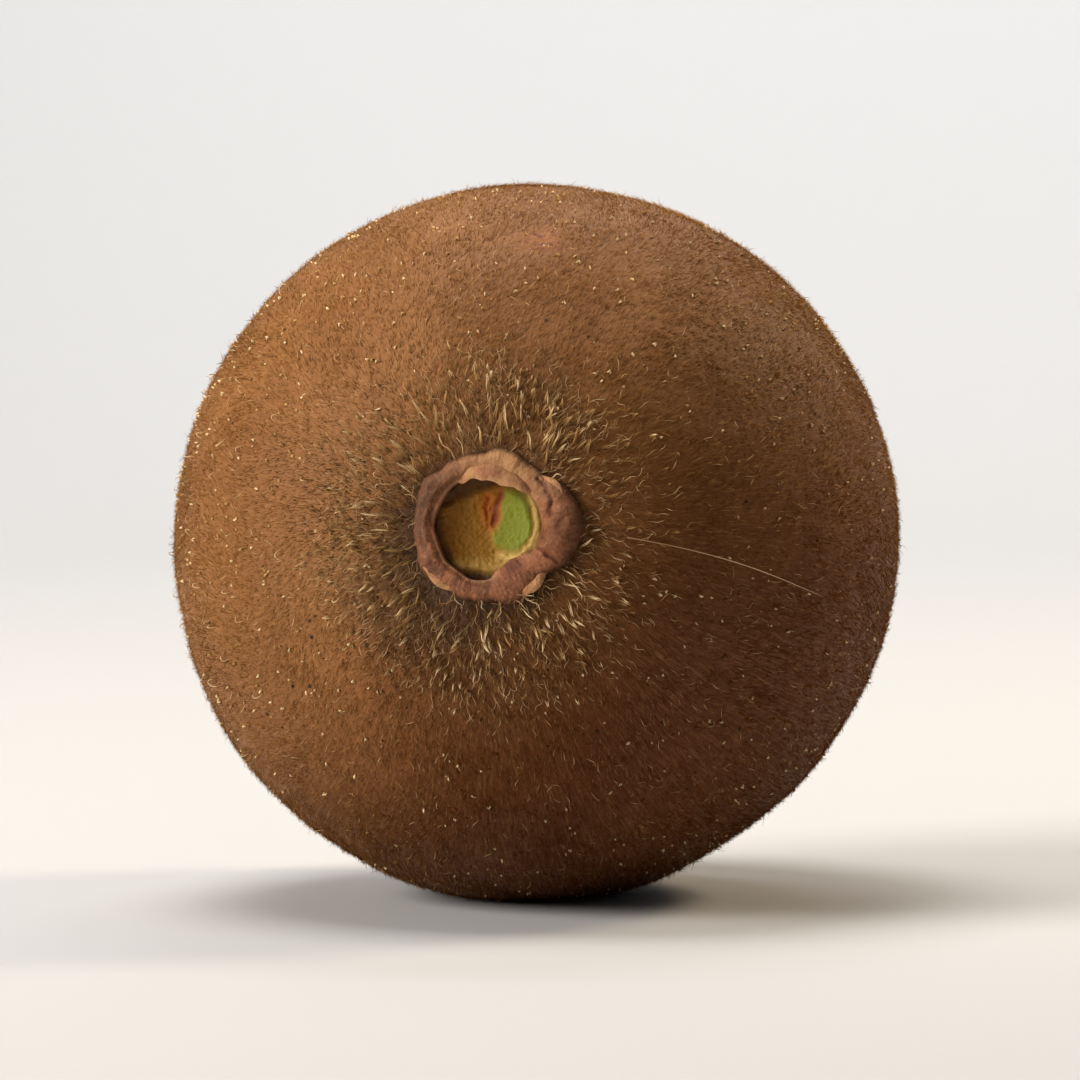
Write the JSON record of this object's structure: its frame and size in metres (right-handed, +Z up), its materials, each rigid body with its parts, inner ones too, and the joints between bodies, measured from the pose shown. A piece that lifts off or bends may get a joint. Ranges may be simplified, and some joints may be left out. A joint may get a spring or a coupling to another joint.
{
  "type": "golden kiwi fruit",
  "caption": "Whole golden kiwi fruit lying on its side: a blunt oval body with brown downy skin, a green stalk scar in a dry collar, and dried styles at the other end.",
  "frame": {"origin": "on the surface that the fruit rests on, under the middle of its bounding box", "axes": "+Z up, +Y along the fruit from the stem end to the blossom end, +X to the right when facing the stem end"},
  "size_m": [0.054, 0.0648, 0.0537],
  "materials": {
    "skin": "thin leathery brown skin, matt, with a short nap of fine hairs",
    "scar": "moist green and olive tissue where the stalk broke off",
    "calyx": "dry, wrinkled, pinkish brown collar with papery edges",
    "styles": "dead, dry and almost black",
    "hairs": "fine golden brown hairs with straw-coloured tips"
  },
  "bodies": {
    "root": {"fruit": "skin", "calyx": "calyx", "dried_styles": "styles"}
  },
  "joints": []
}
